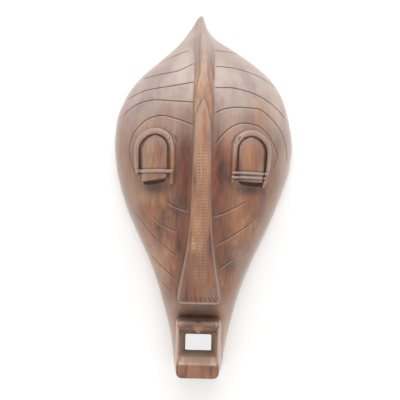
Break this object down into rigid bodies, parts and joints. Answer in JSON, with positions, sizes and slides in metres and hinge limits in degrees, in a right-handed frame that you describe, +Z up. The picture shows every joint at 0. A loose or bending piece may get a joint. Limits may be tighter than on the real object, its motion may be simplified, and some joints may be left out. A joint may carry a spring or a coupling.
{
  "type": "carved wooden wall mask",
  "caption": "Hollow-backed carved wooden face mask with a crest, a long flared nose, lidded eyes and a square open mouth, hung on a wall by a steel ring.",
  "frame": {"origin": "on the wall plane, at the height where the wall hook bears on the top of the raised hanging ring", "axes": "+Z up along the mask to its tip, -Y out of the wall to the front of the face, +X to the right seen from the front"},
  "size_m": [0.2321, 0.1066, 0.4599],
  "materials": {
    "stained_wood": "red-brown stain under a satin varnish",
    "plated_steel": "zinc-plated steel"
  },
  "bodies": {
    "mask": {"mask_shell": "stained_wood", "crest": "stained_wood", "nose": "stained_wood", "left_eyelid": "stained_wood", "right_eyelid": "stained_wood", "left_eye_arch": "stained_wood", "right_eye_arch": "stained_wood", "left_lash_band": "stained_wood", "right_upper_lash_band": "stained_wood", "right_lower_lash_band": "stained_wood", "mouth_box": "stained_wood", "upper_lip": "stained_wood", "hanger_strap": "plated_steel", "hanger_screw": "plated_steel"},
    "ring": {"hanger_ring": "plated_steel"}
  },
  "joints": [
    {"name": "ring_pivot", "type": "hinge", "parent": "mask", "child": "ring", "pos_m": [0, -0.00285, -0.01075], "axis": [-1, 0, 0], "range_deg": [0, 180]}
  ]
}
